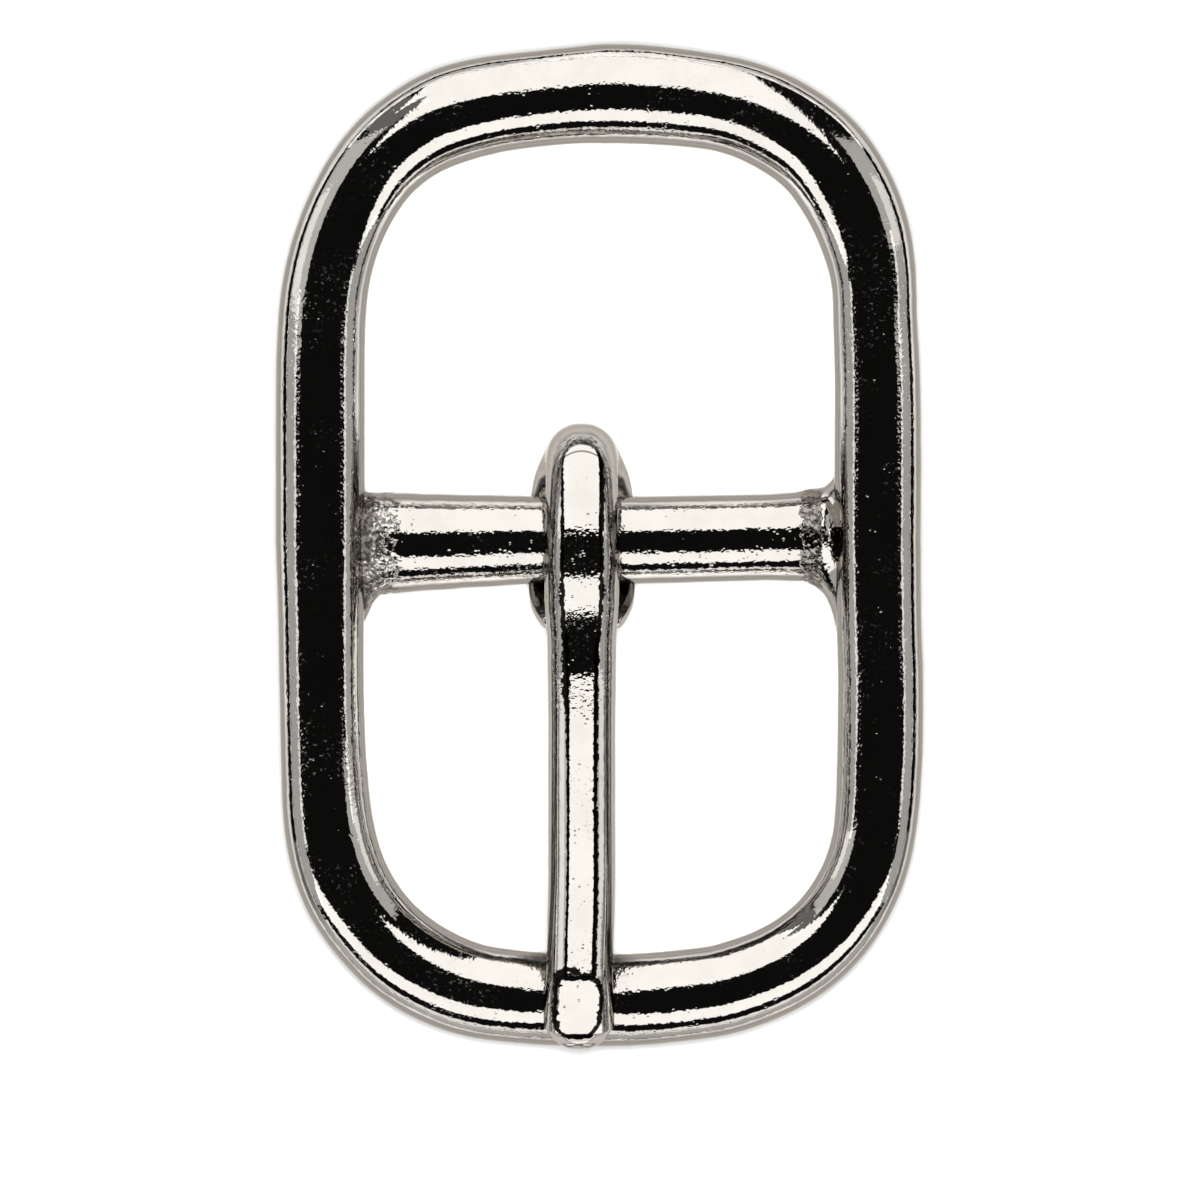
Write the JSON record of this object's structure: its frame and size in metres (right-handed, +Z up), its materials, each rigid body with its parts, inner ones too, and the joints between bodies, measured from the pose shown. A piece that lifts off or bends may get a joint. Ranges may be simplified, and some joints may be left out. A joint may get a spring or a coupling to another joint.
{
  "type": "girth buckle",
  "caption": "Oval wire ring buckle with a welded centre bar and a stout wire tongue that swings on the bar and rests on the lower rail.",
  "frame": {"origin": "below the middle of the outline, on the surface that the loop of the tongue rests on", "axes": "+X across the strap along the centre bar, +Y along the strap towards the upper rail, +Z up out of the front face"},
  "size_m": [0.0354, 0.0552, 0.0104],
  "materials": {
    "nickel_plate": "bright nickel plate over steel wire, with fine pits"
  },
  "bodies": {
    "frame": {"frame": "nickel_plate"},
    "tongue": {"tongue": "nickel_plate"}
  },
  "joints": [
    {"name": "tongue_swing", "type": "hinge", "parent": "frame", "child": "tongue", "pos_m": [0, 0.00038, 0.00333], "axis": [-1, 0, 0], "range_deg": [0, 154]}
  ]
}
